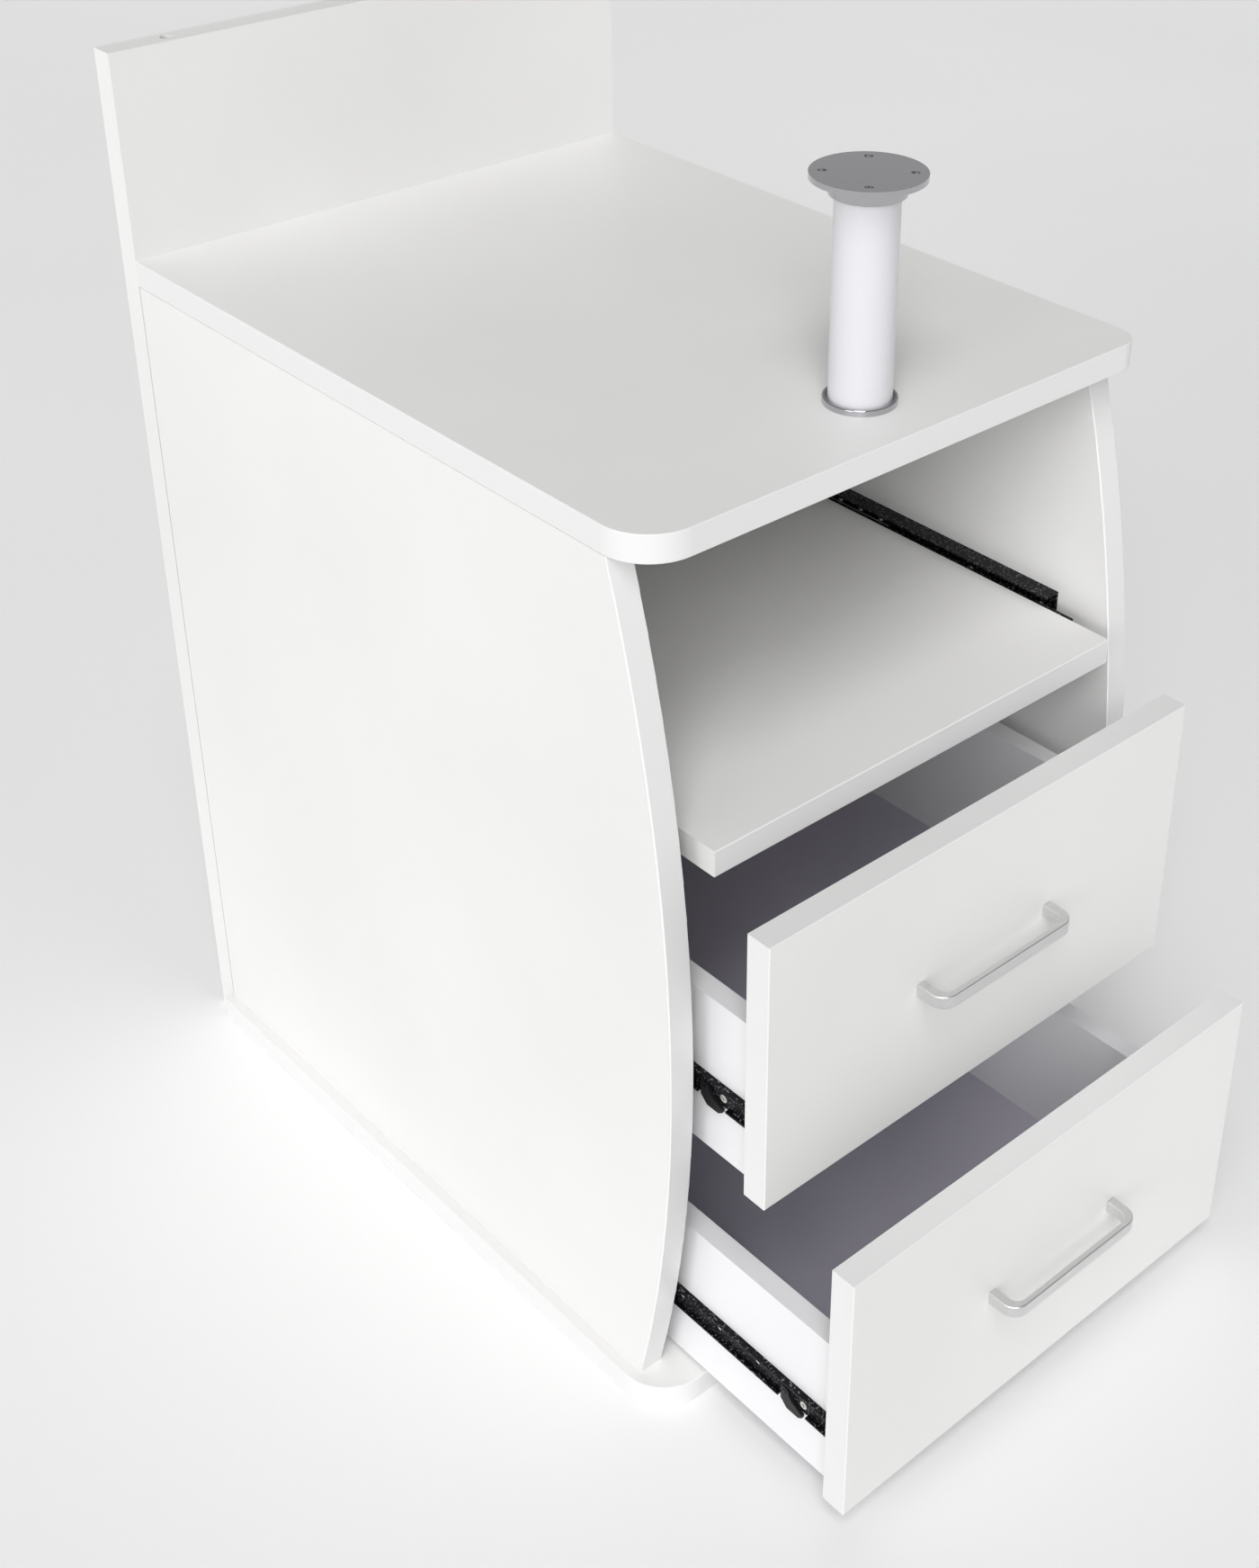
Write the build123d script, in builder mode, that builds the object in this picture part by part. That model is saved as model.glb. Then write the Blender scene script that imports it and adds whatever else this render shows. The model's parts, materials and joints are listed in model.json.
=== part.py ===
"""Desk-side drawer pedestal: carcass, pull-out shelf and two drawers on ball-bearing slides.

Frame: origin on the floor under the middle of the carcass, +Z up, drawer fronts face -Y.
"""
import os

from build123d import *

os.makedirs("parts", exist_ok=True)

# Boards and carcass, mm
board = 16.0
carcass_w = 363.0
back_face = 245.0
desk_under = 695.0
band = 1.0
band_round = 0.7
rear_gap = 1.2
base_overhang = 7.0
base_front = -245.0
deck_front = -231.5
deck_under = 555.0
corner_r = 30.0
far_corner_r = 16.0
side_apex_y = -249.0
side_apex_z = 258.0
side_arc_r = 1020.0

# Post between deck and desktop
post_x, post_y = 4.5, -186.0
post_r, post_wall = 17.0, 1.5
collar_r, collar_h, collar_floor = 20.0, 3.5, 0.8
collar_groove, collar_round = 1.5, 0.7
flange_r, flange_t, flange_pcd = 30.0, 3.0, 46.0
flange_hole_r, flange_sleeve = 2.25, 8.0

# Fasteners
dowel_r, dowel_depth, dowel_x = 4.0, 25.0, 140.0
cam_r, cam_depth, cam_drop = 7.5, 12.5, 34.0
cam_bolt_r, cam_thread_r, cam_thread = 3.0, 2.5, 11.0
cam_y = (-120.0, 160.0)
carcass_screw_r, carcass_head_r, carcass_screw_len = 2.5, 5.0, 46.0
carcass_head_h, carcass_sink = 2.5, 3.0
base_screw_y = (-160.0, 0.0, 170.0)
back_screw_z, back_screw_x = (90.0, 290.0, 490.0), 90.0
pilot_r, pilot_deep = 1.5, 11.0

# Slides: one cabinet rail, one moving rail and a ball cage on each side of a unit
gap = 12.7
rail_h, rail_t = 27.0, 1.2
rail_len = 350.0
rail_front = -201.0
inner_rail_h, inner_rail_deep = 14.0, 4.0
cage_len, cage_t, cage_half_h = 72.0, 0.8, 10.05
cage_front, cage_back = 12.1, 2.6
ball_r, ball_pitch, ball_up, ball_in = 2.2, 18.0, 9.65, 9.4
lever_back, lever_t, pin_r = 39.0, 2.0, 1.5
lever_slot = (22.0, 44.0)
rail_screw_back = (25.0, 300.0)
rail_hole_r, cabinet_hole_r = 2.2, 2.5
rail_hole_back = (8.0, 64.0, 96.0, 128.0, 192.0, 256.0, 335.0)
cabinet_screw_y = (-165.0, 110.0)
cabinet_hole_y = (-190.0, -133.0, -69.0, -5.0, 59.0, 140.0)

# Drawers
closed_face = -233.0
front_w, front_h = 326.0, 175.0
box_side, box_h, box_deep = 12.0, 105.0, 350.0
bottom_t, bottom_up, groove = 3.0, 5.0, 5.0
rail_up = 45.0
box_screw_up, box_screw_r, box_head_r, box_sink = (25.0, 85.0), 1.75, 3.4, 2.0
handle_pitch, handle_out, handle_bar, handle_leg, handle_tall = 102.0, 20.0, 4.0, 6.0, 8.0
handle_bend_r, handle_edge_r = 10.0, 0.8
handle_screw_r, handle_tap = 1.5, 9.0

# Pull-out shelf
shelf_under = 379.5
shelf_deep = 400.0
shelf_rail_z = 387.5
shelf_rail_back = 30.0

# How far each unit stands open at rest
shelf_open, upper_open, lower_open = 17.5, 69.0, 136.0

half = carcass_w / 2
inner_half = half - board
box_half = inner_half - gap
back_front = back_face - board
deck_top = deck_under + board
side_mid = half - board / 2
side_rear = back_front - rear_gap
upper_bottom, lower_bottom = 196.0, 18.5
sides = {"left": -1, "right": 1}
rail_heights = {
    "lower": lower_bottom + rail_up,
    "upper": upper_bottom + rail_up,
    "shelf": shelf_rail_z,
}
back_screws_at = [(side * side_mid, z) for side in sides.values() for z in back_screw_z]
board_mid_z = (board / 2, deck_under + board / 2)
back_screws_at += [(x, z) for x in (-back_screw_x, back_screw_x) for z in board_mid_z]


def save(builder, name):
    builder.part.label = name
    export_step(builder.part, f"parts/{name}.step")


def block(x0, x1, y0, y1, z0, z1, mode=Mode.ADD):
    """An upright block between two corners, joined to or cut from the current part."""
    with Locations(((x0 + x1) / 2, (y0 + y1) / 2, (z0 + z1) / 2)):
        Box(abs(x1 - x0), abs(y1 - y0), abs(z1 - z0), mode=mode)


def rod(place, direction, radius, length, mode=Mode.ADD):
    """A cylinder that starts at place and runs along direction."""
    with Locations(Plane(origin=place, z_dir=direction)):
        Cylinder(radius, length, align=(Align.CENTER, Align.CENTER, Align.MIN), mode=mode)


def in_gap(side, depth):
    """X of a point that stands depth millimetres off the side panel's inner face."""
    return side * (inner_half - depth)


def rounded_plan(x, front, left_r, right_r):
    """Board outline: straight rear and sides, two rounded front corners."""
    with BuildLine() as outline:
        Line((-x, back_front), (-x, front + left_r))
        RadiusArc((-x, front + left_r), (-x + left_r, front), -left_r)
        Line((-x + left_r, front), (x - right_r, front))
        RadiusArc((x - right_r, front), (x, front + right_r), -right_r)
        Line((x, front + right_r), (x, back_front))
        Line((x, back_front), (-x, back_front))
    return outline.line


def screw(place, direction, head_r, head_h, shank_r, length):
    """A cross-recessed screw: head stands off place, shank runs on from place along direction."""
    back = tuple(p - head_h * d for p, d in zip(place, direction))
    rod(back, direction, head_r, head_h)
    rod(place, direction, shank_r, length)
    low = (Align.CENTER, Align.CENTER, Align.MIN)
    with Locations(Plane(origin=back, z_dir=direction)):
        Box(head_r * 1.2, head_r * 0.28, head_h * 0.7, align=low, mode=Mode.SUBTRACT)
        Box(head_r * 0.28, head_r * 1.2, head_h * 0.7, align=low, mode=Mode.SUBTRACT)


def carcass_screw_hole(place, direction):
    """Through hole and head recess for a carcass screw that enters a board at place."""
    rod(place, direction, carcass_screw_r, board, Mode.SUBTRACT)
    rod(place, direction, carcass_head_r, carcass_sink, Mode.SUBTRACT)


def carcass_screw(place, direction):
    """A carcass screw with its head sunk below the face at place."""
    head = tuple(p + carcass_sink * d for p, d in zip(place, direction))
    screw(head, direction, carcass_head_r, carcass_head_h, carcass_screw_r, carcass_screw_len)


# ---------------------------------------------------------------- carcass boards
screw_bite = carcass_sink + carcass_screw_len - board + 1
board_plans = {
    "base": (half + base_overhang, base_front, corner_r, far_corner_r, 0.0),
    "deck": (half, deck_front, corner_r, far_corner_r, deck_under),
}
for place, (wide, front, left_r, right_r, z0) in board_plans.items():
    core = rounded_plan(wide - band, front + band, left_r - band, right_r - band)
    rim = rounded_plan(wide, front, left_r, right_r)
    with BuildPart() as plan_board:
        with BuildSketch(Plane.XY.offset(z0)):
            make_face(core.edges())
        extrude(amount=board)
        for x in (-back_screw_x, back_screw_x):
            rod((x, back_front, z0 + board / 2), (0, -1, 0), carcass_screw_r, screw_bite, Mode.SUBTRACT)
        for side in sides.values():
            if place == "base":
                for y in base_screw_y:
                    carcass_screw_hole((side * side_mid, y, 0), (0, 0, 1))
            else:
                for y in cam_y:
                    rod((side * side_mid, y, z0), (0, 0, 1), cam_thread_r, cam_thread, Mode.SUBTRACT)
    save(plan_board, f"{place}_board")

    with BuildPart() as plan_band:
        with BuildSketch(Plane.XY.offset(z0)):
            make_face(rim.edges())
        extrude(amount=board)
        rims = plan_band.edges().group_by(Axis.Z)
        outer = (rims[0] + rims[-1]).filter_by(lambda edge: edge.center().Y < back_front - 1)
        fillet(outer, band_round)
        with BuildSketch(Plane.XY.offset(z0)):
            make_face(core.edges())
        extrude(amount=board, mode=Mode.SUBTRACT)
    save(plan_band, f"{place}_edge_band")

with BuildPart() as back_panel:
    block(-half, half, back_front, back_face, 0, desk_under)
    for x in (-dowel_x, dowel_x):
        rod((x, back_front + board / 2, desk_under), (0, 0, -1), dowel_r, dowel_depth, Mode.SUBTRACT)
    for x, z in back_screws_at:
        carcass_screw_hole((x, back_face, z), (0, -1, 0))
save(back_panel, "back_panel")

arc_centre_y = side_apex_y + side_arc_r


def front_edge_y(z, radius):
    """Y of the bowed front edge at height z."""
    return arc_centre_y - (radius ** 2 - (z - side_apex_z) ** 2) ** 0.5


def side_outline(radius):
    """Side panel outline in Y and Z with its bowed front edge."""
    low = front_edge_y(board, radius)
    high = front_edge_y(deck_under, radius)
    apex = arc_centre_y - radius
    with BuildLine() as outline:
        Line((side_rear, deck_under), (side_rear, board))
        Line((side_rear, board), (low, board))
        ThreePointArc((low, board), (apex, side_apex_z), (high, deck_under))
        Line((high, deck_under), (side_rear, deck_under))
    return outline.line


side_core = side_outline(side_arc_r - band)
side_rim = side_outline(side_arc_r)
for name, side in sides.items():
    x_low = min(side * half, side * inner_half)
    with BuildPart() as side_panel:
        with BuildSketch(Plane.YZ.offset(x_low)):
            make_face(side_core.edges())
        extrude(amount=board)
        for y in cam_y:
            inner_face = (side * inner_half, y, deck_under - cam_drop)
            rod(inner_face, (side, 0, 0), cam_r, cam_depth, Mode.SUBTRACT)
            top = (side * side_mid, y, deck_under)
            rod(top, (0, 0, -1), cam_bolt_r + 0.5, cam_drop, Mode.SUBTRACT)
        for y in base_screw_y:
            rod((side * side_mid, y, board), (0, 0, 1), carcass_screw_r, screw_bite, Mode.SUBTRACT)
        for z in back_screw_z:
            rod((side * side_mid, side_rear, z), (0, -1, 0), carcass_screw_r, screw_bite, Mode.SUBTRACT)
        for height in rail_heights.values():
            for y in cabinet_screw_y:
                rod((side * inner_half, y, height), (side, 0, 0), pilot_r, pilot_deep, Mode.SUBTRACT)
    save(side_panel, f"side_panel_{name}")

with BuildPart() as side_bands:
    for side in sides.values():
        with BuildSketch(Plane.YZ.offset(min(side * half, side * inner_half))):
            make_face(side_rim.edges())
            make_face(side_core.edges(), mode=Mode.SUBTRACT)
        extrude(amount=board)
    bowed = side_bands.edges().filter_by(GeomType.CIRCLE)
    fillet(bowed.filter_by(lambda edge: abs(edge.radius - side_arc_r) < band / 2), band_round)
save(side_bands, "side_edge_bands")

# ---------------------------------------------------------------- post
with BuildPart() as support_post:
    with BuildSketch(Plane.XY.offset(deck_top)):
        with Locations((post_x, post_y)):
            Circle(post_r)
            Circle(post_r - post_wall, mode=Mode.SUBTRACT)
    extrude(amount=desk_under - flange_t - deck_top)
save(support_post, "support_post")

with BuildPart() as post_collar:
    with BuildSketch(Plane.XY.offset(deck_top)):
        with Locations((post_x, post_y)):
            Circle(collar_r)
            Circle(post_r, mode=Mode.SUBTRACT)
    extrude(amount=collar_h)
    fillet(post_collar.edges().group_by(Axis.Z)[-1].sort_by(SortBy.RADIUS)[-1], collar_round)
    with BuildSketch(Plane.XY.offset(deck_top + collar_h)):
        with Locations((post_x, post_y)):
            Circle(post_r + collar_groove)
            Circle(post_r, mode=Mode.SUBTRACT)
    extrude(amount=collar_floor - collar_h, mode=Mode.SUBTRACT)
save(post_collar, "post_collar_lower")

with BuildPart() as post_flange:
    with BuildSketch(Plane.XY.offset(desk_under - flange_t)):
        with Locations((post_x, post_y)):
            Circle(flange_r)
            with PolarLocations(flange_pcd / 2, 4, start_angle=45):
                Circle(flange_hole_r, mode=Mode.SUBTRACT)
    extrude(amount=flange_t)
    with BuildSketch(Plane.XY.offset(desk_under - flange_t)):
        with Locations((post_x, post_y)):
            Circle(collar_r)
            Circle(post_r, mode=Mode.SUBTRACT)
    extrude(amount=-flange_sleeve)
save(post_flange, "post_flange_upper")

# ---------------------------------------------------------------- hidden fasteners
with BuildPart() as cam_nuts:
    for side in sides.values():
        for y in cam_y:
            centre_z = deck_under - cam_drop
            rod((side * inner_half, y, centre_z), (side, 0, 0), cam_r - 0.1, cam_depth - 0.5)
            rod((side * side_mid, y, centre_z), (0, 0, 1), cam_bolt_r + 0.3, cam_r + 1, Mode.SUBTRACT)
            block(side * inner_half, side * (inner_half + 1.2), y - 5, y + 5,
                  centre_z - 0.8, centre_z + 0.8, Mode.SUBTRACT)
save(cam_nuts, "cam_lock_nuts")

with BuildPart() as cam_bolts:
    for side in sides.values():
        for y in cam_y:
            rod((side * side_mid, y, deck_under), (0, 0, -1), cam_bolt_r, cam_drop - 0.6)
            rod((side * side_mid, y, deck_under), (0, 0, 1), cam_thread_r, cam_thread)
save(cam_bolts, "cam_lock_bolts")

with BuildPart() as base_screws:
    for side in sides.values():
        for y in base_screw_y:
            carcass_screw((side * side_mid, y, 0), (0, 0, 1))
save(base_screws, "base_screws")

with BuildPart() as back_screws:
    for x, z in back_screws_at:
        carcass_screw((x, back_face, z), (0, -1, 0))
save(back_screws, "back_screws")

with BuildPart() as cabinet_rail_screws:
    for height in rail_heights.values():
        for side in sides.values():
            for y in cabinet_screw_y:
                screw((in_gap(side, rail_t), y, height), (side, 0, 0), 3.0, 1.0, 1.5, 12.0)
save(cabinet_rail_screws, "cabinet_rail_screws")

# ---------------------------------------------------------------- slides
moving_rail_front = {
    "lower": closed_face - lower_open + board,
    "upper": closed_face - upper_open + board,
    "shelf": closed_face - shelf_open + shelf_rail_back,
}

for unit, height in rail_heights.items():
    start = moving_rail_front[unit]
    pivot_y = start + lever_back
    for name, side in sides.items():
        toward_panel = (side, 0, 0)
        with BuildPart() as cabinet_rail:
            block(in_gap(side, 0), in_gap(side, gap - rail_t), rail_front, rail_front + rail_len,
                  height - rail_h / 2, height + rail_h / 2)
            block(in_gap(side, rail_t), in_gap(side, gap), rail_front, rail_front + rail_len,
                  height - rail_h / 2 + rail_t, height + rail_h / 2 - rail_t, Mode.SUBTRACT)
            for y in cabinet_screw_y:
                rod((in_gap(side, rail_t), y, height), toward_panel, pilot_r, rail_t, Mode.SUBTRACT)
            for y in cabinet_hole_y:
                rod((in_gap(side, rail_t), y, height), toward_panel, cabinet_hole_r, rail_t, Mode.SUBTRACT)
        save(cabinet_rail, f"{unit}_cabinet_rail_{name}")

        with BuildPart() as moving_rail:
            block(in_gap(side, gap - inner_rail_deep), in_gap(side, gap), start, start + rail_len,
                  height - inner_rail_h / 2, height + inner_rail_h / 2)
            block(in_gap(side, gap - inner_rail_deep), in_gap(side, gap - rail_t), start,
                  start + rail_len, height - inner_rail_h / 2 + rail_t,
                  height + inner_rail_h / 2 - rail_t, Mode.SUBTRACT)
            block(in_gap(side, gap - inner_rail_deep), in_gap(side, gap - rail_t), start + lever_slot[0],
                  start + lever_slot[1], height - inner_rail_h / 2, height, Mode.SUBTRACT)
            web_x = in_gap(side, gap)
            for back in rail_screw_back:
                rod((web_x, start + back, height), toward_panel, pilot_r, rail_t, Mode.SUBTRACT)
            for back in rail_hole_back:
                rod((web_x, start + back, height), toward_panel, rail_hole_r, rail_t, Mode.SUBTRACT)
            rod((in_gap(side, gap - rail_t), pivot_y, height), toward_panel, pin_r, lever_t + 0.6)
        save(moving_rail, f"{unit}_rail_{name}")

        lever_x = in_gap(side, gap - rail_t - 0.3 - lever_t / 2) - lever_t / 2
        with BuildPart() as lever:
            with BuildSketch(Plane.YZ.offset(lever_x)):
                with BuildLine():
                    Polyline(
                        (pivot_y - 3.0, height - 0.5), (pivot_y + 3.0, height - 0.5),
                        (pivot_y + 3.0, height - 7.0), (pivot_y - 2.0, height - 11.7),
                        (pivot_y - 11.0, height - 11.7), (pivot_y - 14.0, height - 9.5),
                        (pivot_y - 14.0, height - 7.5), (pivot_y - 6.0, height - 4.0), close=True,
                    )
                make_face()
                with Locations((pivot_y, height)):
                    Circle(3.2)
                    Circle(pin_r + 0.06, mode=Mode.SUBTRACT)
            extrude(amount=lever_t)
        save(lever, f"{unit}_release_lever_{name}")

    cage_mid = (rail_front + start + rail_len) / 2
    with BuildPart() as ball_cages:
        for side in sides.values():
            block(in_gap(side, cage_back), in_gap(side, cage_front), cage_mid - cage_len / 2,
                  cage_mid + cage_len / 2, height - cage_half_h, height + cage_half_h)
            block(in_gap(side, cage_back + cage_t), in_gap(side, gap), cage_mid - cage_len / 2,
                  cage_mid + cage_len / 2, height - cage_half_h + cage_t,
                  height + cage_half_h - cage_t, Mode.SUBTRACT)
            for up in (-ball_up, ball_up):
                for step in (-1.5, -0.5, 0.5, 1.5):
                    centre = (in_gap(side, ball_in), cage_mid + step * ball_pitch, height + up)
                    with Locations(centre):
                        Cylinder(ball_r + 0.1, 2.0, mode=Mode.SUBTRACT)
                        Sphere(ball_r)
    save(ball_cages, f"{unit}_ball_cages")

    with BuildPart() as rail_screws:
        for side in sides.values():
            for back in rail_screw_back:
                place = (in_gap(side, gap - rail_t), start + back, height)
                screw(place, (-side, 0, 0), 2.5, 1.2, 1.5, 10.0)
    save(rail_screws, f"{unit}_rail_screws")

# ---------------------------------------------------------------- pull-out shelf
shelf_face = closed_face - shelf_open
with BuildPart() as shelf:
    block(-box_half, box_half, shelf_face + band, shelf_face + shelf_deep,
          shelf_under, shelf_under + board)
    for side in sides.values():
        for back in rail_screw_back:
            place = (side * box_half, moving_rail_front["shelf"] + back, shelf_rail_z)
            rod(place, (-side, 0, 0), pilot_r, pilot_deep - 2, Mode.SUBTRACT)
save(shelf, "pull_out_shelf")

with BuildPart() as shelf_band:
    block(-box_half, box_half, shelf_face, shelf_face + band, shelf_under, shelf_under + board)
    fillet(shelf_band.edges().filter_by(Axis.X).group_by(Axis.Y)[0], band_round)
save(shelf_band, "shelf_edge_band")

# ---------------------------------------------------------------- drawers
for unit, opened, z0 in (("lower", lower_open, lower_bottom), ("upper", upper_open, upper_bottom)):
    face = closed_face - opened
    rear = face + board
    end = rear + box_deep
    box_z0 = z0 - 0.5
    rail_z = z0 + rail_up
    mid_z = z0 + front_h / 2
    board_z0, board_z1 = box_z0 + bottom_up, box_z0 + bottom_up + bottom_t
    bottom_x = box_half - box_side + groove

    with BuildPart() as front:
        block(-front_w / 2 + band, front_w / 2 - band, face, rear, z0 + band, z0 + front_h - band)
        block(-bottom_x, bottom_x, rear - groove, rear, board_z0, board_z1, Mode.SUBTRACT)
        for x in (-handle_pitch / 2, handle_pitch / 2):
            rod((x, face, mid_z), (0, 1, 0), handle_screw_r + 0.1, board, Mode.SUBTRACT)
    save(front, f"{unit}_drawer_front")

    with BuildPart() as front_band:
        block(-front_w / 2, front_w / 2, face, rear, z0, z0 + front_h)
        block(-front_w / 2 + band, front_w / 2 - band, face, rear, z0 + band, z0 + front_h - band,
              Mode.SUBTRACT)
        outer_face = front_band.faces().sort_by(Axis.Y)[0]
        fillet(outer_face.outer_wire().edges(), band_round)
    save(front_band, f"{unit}_front_edge_band")

    for name, side in sides.items():
        with BuildPart() as box_wall:
            block(side * box_half, side * (box_half - box_side), rear, end, box_z0, box_z0 + box_h)
            block(side * (box_half - box_side), side * bottom_x, rear, end,
                  board_z0, board_z1, Mode.SUBTRACT)
            for back in rail_screw_back:
                place = (side * box_half, rear + back, rail_z)
                rod(place, (-side, 0, 0), pilot_r, pilot_deep - 2, Mode.SUBTRACT)
            for up in box_screw_up:
                place = (side * box_half, end - box_side / 2, box_z0 + up)
                rod(place, (-side, 0, 0), box_screw_r, box_side, Mode.SUBTRACT)
                rod(place, (-side, 0, 0), box_head_r + 0.1, box_sink, Mode.SUBTRACT)
        save(box_wall, f"{unit}_box_side_{name}")

    with BuildPart() as box_back:
        inner_x = box_half - box_side
        block(-inner_x, inner_x, end - box_side, end, box_z0, box_z0 + box_h)
        block(-inner_x, inner_x, end - box_side, end - box_side + groove,
              board_z0, board_z1, Mode.SUBTRACT)
        for side in sides.values():
            for up in box_screw_up:
                place = (side * inner_x, end - box_side / 2, box_z0 + up)
                rod(place, (-side, 0, 0), box_screw_r, 2 * box_side, Mode.SUBTRACT)
    save(box_back, f"{unit}_box_back")

    with BuildPart() as box_screws:
        for side in sides.values():
            for up in box_screw_up:
                place = (side * (box_half - box_sink), end - box_side / 2, box_z0 + up)
                screw(place, (-side, 0, 0), box_head_r, box_sink - 0.2, box_screw_r, 33.0)
    save(box_screws, f"{unit}_box_screws")

    with BuildPart() as box_bottom:
        block(-bottom_x, bottom_x, rear - groove, end - box_side + groove, board_z0, board_z1)
        for side in sides.values():
            block(side * bottom_x, side * (box_half - box_side), end - box_side,
                  end - box_side + groove, board_z0, board_z1, Mode.SUBTRACT)
    save(box_bottom, f"{unit}_box_bottom")

    with BuildPart() as handle:
        outer_half = handle_pitch / 2 + handle_leg / 2
        inner_x = handle_pitch / 2 - handle_leg / 2
        with BuildSketch(Plane.XY.offset(mid_z - handle_tall / 2)):
            with BuildLine():
                FilletPolyline(
                    (-outer_half, face), (-outer_half, face - handle_out),
                    (outer_half, face - handle_out), (outer_half, face), radius=handle_bend_r,
                )
                Line((outer_half, face), (inner_x, face))
                FilletPolyline(
                    (inner_x, face), (inner_x, face - handle_out + handle_bar),
                    (-inner_x, face - handle_out + handle_bar), (-inner_x, face),
                    radius=handle_bend_r - handle_bar,
                )
                Line((-inner_x, face), (-outer_half, face))
            make_face()
        extrude(amount=handle_tall)
        rims = handle.edges().group_by(Axis.Z)
        fillet(rims[0] + rims[-1], handle_edge_r)
        for x in (-handle_pitch / 2, handle_pitch / 2):
            rod((x, face, mid_z), (0, -1, 0), handle_screw_r, handle_tap, Mode.SUBTRACT)
    save(handle, f"{unit}_handle")

    with BuildPart() as handle_screws:
        for x in (-handle_pitch / 2, handle_pitch / 2):
            screw((x, rear, mid_z), (0, -1, 0), 3.5, 2.0, handle_screw_r, board + handle_tap - 1)
    save(handle_screws, f"{unit}_handle_screws")
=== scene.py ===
import json
from math import radians

import bpy
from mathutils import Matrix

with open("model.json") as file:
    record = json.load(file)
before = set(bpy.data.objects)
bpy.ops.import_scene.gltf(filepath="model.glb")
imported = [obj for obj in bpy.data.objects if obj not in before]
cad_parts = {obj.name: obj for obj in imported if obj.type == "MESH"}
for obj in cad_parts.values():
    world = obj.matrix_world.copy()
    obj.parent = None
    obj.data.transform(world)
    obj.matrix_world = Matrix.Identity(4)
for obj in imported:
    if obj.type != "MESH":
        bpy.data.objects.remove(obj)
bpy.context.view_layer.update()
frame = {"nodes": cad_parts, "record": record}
nodes = frame["nodes"]

# ---------------------------------------------------------------- materials

# How a texture is scaled along x, y and z. A small factor draws it out along that axis.
EVEN = (1, 1, 1)
ALONG_X = (0.04, 1, 1)


def fill_ramp(node, stops):
    """Give a colour ramp node its stops, each a position and a colour."""
    elements = node.color_ramp.elements
    while len(elements) < len(stops):
        elements.new(0.5)
    for element, (at, colour) in zip(elements, stops):
        element.position = at
        element.color = (*colour, 1.0)


class Shader:
    """A Principled material with helpers for the few node patterns used here."""

    def __init__(self, name, **values):
        self.mat = bpy.data.materials.new(name)
        self.mat.use_nodes = True
        self.tree = self.mat.node_tree
        self.bsdf = self.tree.nodes["Principled BSDF"]
        for key, value in values.items():
            self.bsdf.inputs[key.replace("_", " ")].default_value = value
        self.coords = self.add("ShaderNodeTexCoord").outputs["Object"]

    def add(self, kind, **values):
        node = self.tree.nodes.new(kind)
        for key, value in values.items():
            node.inputs[key.replace("_", " ")].default_value = value
        return node

    def link(self, out, into):
        self.tree.links.new(out, into)

    def noise(self, scale, detail, rough, stretch=EVEN):
        """Noise over the object, in metres, drawn out along an axis where stretch is small."""
        mapping = self.add("ShaderNodeMapping")
        mapping.inputs["Scale"].default_value = stretch
        self.link(self.coords, mapping.inputs["Vector"])
        node = self.add("ShaderNodeTexNoise", Scale=scale, Detail=detail, Roughness=rough)
        self.link(mapping.outputs["Vector"], node.inputs["Vector"])
        return node.outputs["Fac"]

    def ramp(self, source, stops, into):
        """Colour one input of the shader by a texture."""
        node = self.add("ShaderNodeValToRGB")
        fill_ramp(node, stops)
        self.link(source, node.inputs["Fac"])
        self.link(node.outputs["Color"], self.bsdf.inputs[into])

    def roughen(self, source, low, high):
        """Vary the roughness between low and high by a texture."""
        node = self.add("ShaderNodeMapRange")
        node.inputs["To Min"].default_value = low
        node.inputs["To Max"].default_value = high
        self.link(source, node.inputs["Value"])
        self.link(node.outputs["Result"], self.bsdf.inputs["Roughness"])

    def bump(self, source, distance, strength, below=None):
        """Raise the surface by distance metres, on top of an earlier bump if one is given."""
        node = self.add("ShaderNodeBump", Strength=strength, Distance=distance)
        self.link(source, node.inputs["Height"])
        if below is not None:
            self.link(below, node.inputs["Normal"])
        self.link(node.outputs["Normal"], self.bsdf.inputs["Normal"])
        return node.outputs["Normal"]


def tint(colour, gain):
    """The colour made lighter or darker by a factor."""
    return tuple(min(1.0, c * gain) for c in colour)


def board_material(name, colour, grain, rough=(0.32, 0.46), spread=0.04, distance=0.00006):
    """Foil-faced board: fine orange-peel texture, faint cloudy tone and sheen variation."""
    s = Shader(name, Specular_IOR_Level=0.42)
    cloud = s.noise(3.0, 3.0, 0.5)
    sheen = s.noise(60.0, 5.0, 0.6)
    fine_peel = s.noise(900.0, 3.0, 0.6, grain)
    broad_peel = s.noise(110.0, 2.0, 0.5, grain)
    darker, lighter = tint(colour, 1 - spread), tint(colour, 1 + spread)
    s.ramp(cloud, [(0.3, darker), (0.7, lighter)], "Base Color")
    s.roughen(sheen, *rough)
    fine = s.bump(fine_peel, distance, 0.35)
    s.bump(broad_peel, distance * 2, 0.25, below=fine)
    return s.mat


def metal_material(name, colour, rough, brushed, distance=0.00002):
    """Bare or plated metal with fine streaks, drawn out where it is brushed."""
    s = Shader(name, Metallic=1.0)
    streaks = s.noise(1400.0, 3.0, 0.6, brushed)
    s.ramp(streaks, [(0.3, tint(colour, 0.93)), (0.7, tint(colour, 1.05))], "Base Color")
    s.roughen(streaks, *rough)
    s.bump(streaks, distance, 0.3)
    return s.mat


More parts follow.
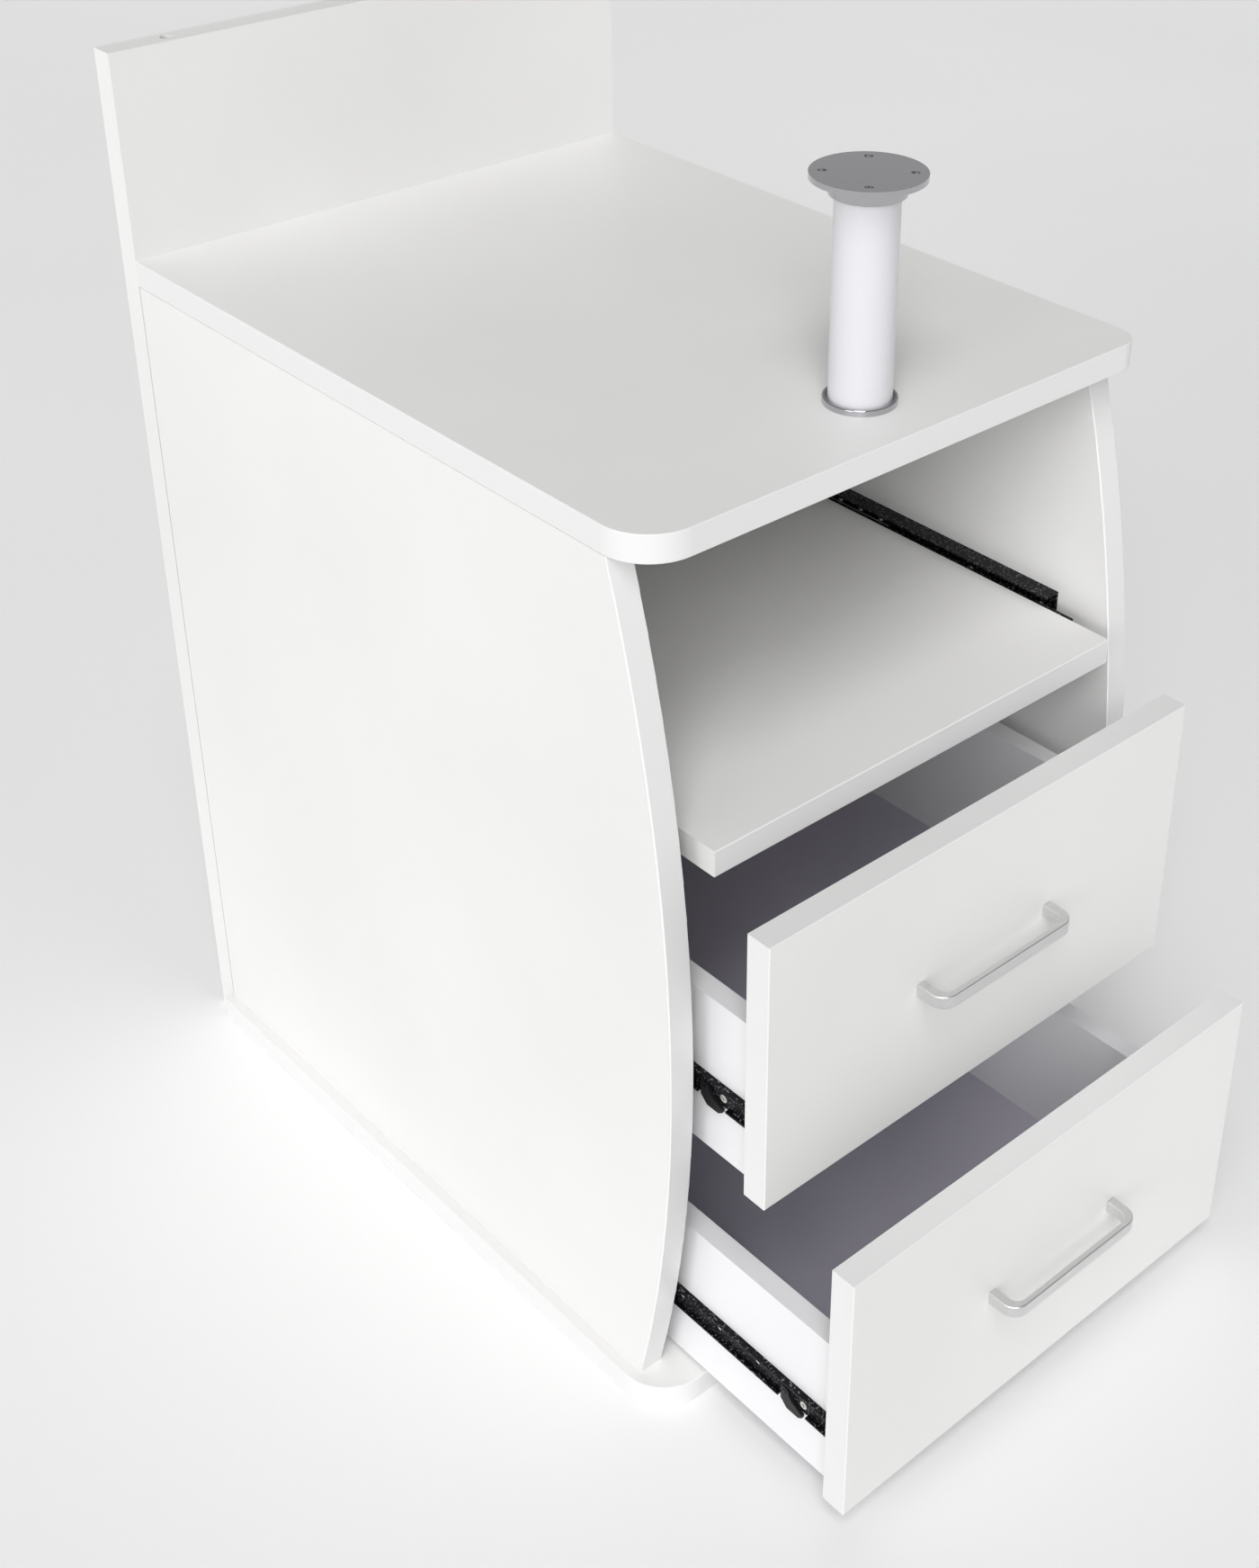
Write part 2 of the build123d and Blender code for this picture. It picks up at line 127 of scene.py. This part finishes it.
def moulded_material(name, colour, rough):
    """Moulded plastic with a fine grain."""
    s = Shader(name, Specular_IOR_Level=0.3)
    grain = s.noise(700.0, 4.0, 0.65)
    sheen = s.noise(90.0, 4.0, 0.6)
    s.ramp(grain, [(0.35, tint(colour, 0.9)), (0.7, tint(colour, 1.15))], "Base Color")
    s.roughen(sheen, *rough)
    s.bump(grain, 0.00003, 0.4)
    return s.mat


def coated_steel(name, colour, grease_and_glint_colour):
    """Black coated slide steel with fine lighter flecks painted into its base colour: partly grease,
    partly painted glints standing in for light caught by the steel.
    """
    s = Shader(name, Specular_IOR_Level=0.14)
    grease_and_glint_flecks = s.noise(760.0, 2.0, 0.5)
    sheen = s.noise(60.0, 4.0, 0.6)
    # Painted glints: lighter grey flecks scattered over the black base colour, partly grease, partly
    # standing in for light the steel catches.
    s.ramp(grease_and_glint_flecks, [(0.0, colour), (0.59, colour), (0.65, grease_and_glint_colour)], "Base Color")
    s.roughen(sheen, 0.32, 0.5)
    s.bump(grease_and_glint_flecks, 0.00005, 0.5)
    return s.mat


white = (0.80, 0.797, 0.788)
band_white = (0.775, 0.775, 0.772)
finishes = {
    "white_melamine": board_material("white_melamine", white, EVEN),
    "white_edge_band": board_material("white_edge_band", band_white, ALONG_X, (0.26, 0.36), 0.015),
    "drawer_white": board_material("drawer_white", (0.84, 0.835, 0.85), EVEN, (0.42, 0.55)),
    "hardboard_white": board_material("hardboard_white", (0.52, 0.50, 0.58), EVEN, (0.5, 0.65)),
    "post_white": board_material("post_white", (0.70, 0.70, 0.73), EVEN, (0.2, 0.28), 0.015, 0.00001),
    "chrome": metal_material("chrome", (0.52, 0.52, 0.54), (0.05, 0.11), EVEN, distance=0.000004),
    "satin_nickel": metal_material("satin_nickel", (0.75, 0.75, 0.75), (0.30, 0.42), ALONG_X),
    # The second colour is the lighter fleck tone: partly grease, partly painted glints.
    "slide_black": coated_steel("slide_black", (0.003, 0.003, 0.004), (0.16, 0.16, 0.17)),
    "cage_steel": metal_material("cage_steel", (0.16, 0.16, 0.17), (0.25, 0.45), EVEN),
    "lever_black": moulded_material("lever_black", (0.007, 0.007, 0.008), (0.35, 0.5)),
    "screw_zinc": metal_material("screw_zinc", (0.72, 0.72, 0.70), (0.18, 0.32), EVEN),
}
for row in frame["record"]["subparts"]:
    for slot in nodes[row["node"]].material_slots:
        slot.material = finishes[row["material_slot"]]

# ---------------------------------------------------------------- floor

# Wide enough for its edge to lie at the horizon in low views.
reach = 40.0
floor_mesh = bpy.data.meshes.new("floor")
floor_mesh.from_pydata(
    [(-reach, -reach, 0), (reach, -reach, 0), (reach, reach, 0), (-reach, reach, 0)],
    [], [(0, 1, 2, 3)],
)
floor = bpy.data.objects.new("floor", floor_mesh)
bpy.context.collection.objects.link(floor)
pale = Shader("floor_pale", Roughness=0.9, Specular_IOR_Level=0.05)
floor_tones = [(0.3, (0.88, 0.88, 0.88)), (0.7, (0.90, 0.90, 0.90))]
pale.ramp(pale.noise(1.2, 2.0, 0.55), floor_tones, "Base Color")
floor_mesh.materials.append(pale.mat)

# ---------------------------------------------------------------- light

# The surround is bright at the horizon, where it meets the floor, and darker overhead.
world = bpy.data.worlds.new("studio")
bpy.context.scene.world = world
world.use_nodes = True
background = world.node_tree.nodes["Background"]
direction = world.node_tree.nodes.new("ShaderNodeTexCoord")
split = world.node_tree.nodes.new("ShaderNodeSeparateXYZ")
sky = world.node_tree.nodes.new("ShaderNodeValToRGB")
world.node_tree.links.new(direction.outputs["Generated"], split.inputs["Vector"])
world.node_tree.links.new(split.outputs["Z"], sky.inputs["Fac"])
world.node_tree.links.new(sky.outputs["Color"], background.inputs["Color"])
sky_tones = [(0.0, 0.86), (0.22, 0.60), (0.5, 0.22), (1.0, 0.22)]
fill_ramp(sky, [(height, (tone, tone, tone)) for height, tone in sky_tones])
sun_spread = radians(26)


def soft_sun(name, turn, height, strength):
    """A wide sun, turn degrees left of the drawers' front and height degrees up."""
    data = bpy.data.lights.new(name, "SUN")
    data.energy = strength
    data.angle = sun_spread
    lamp = bpy.data.objects.new(name, data)
    bpy.context.collection.objects.link(lamp)
    lamp.rotation_euler = (radians(90 - height), 0, radians(-turn))


soft_sun("side", 75, 12, 0.7)
soft_sun("key", 45, 35, 1.16)
soft_sun("high", 45, 60, 1.08)
bpy.context.scene.view_settings.view_transform = "Standard"

# ---------------------------------------------------------------- camera

cam_data = bpy.data.cameras.new("camera")
cam_data.sensor_width = 36.0
cam_data.lens = 50.859
cam_data.shift_x = -0.0816
cam_data.shift_y = -0.1333
camera = bpy.data.objects.new("camera", cam_data)
bpy.context.collection.objects.link(camera)
camera.location = (-0.74585, -0.91048, 1.06141)
camera.rotation_euler = (radians(60.2488), radians(-0.7744), radians(-42.7249))
bpy.context.scene.camera = camera
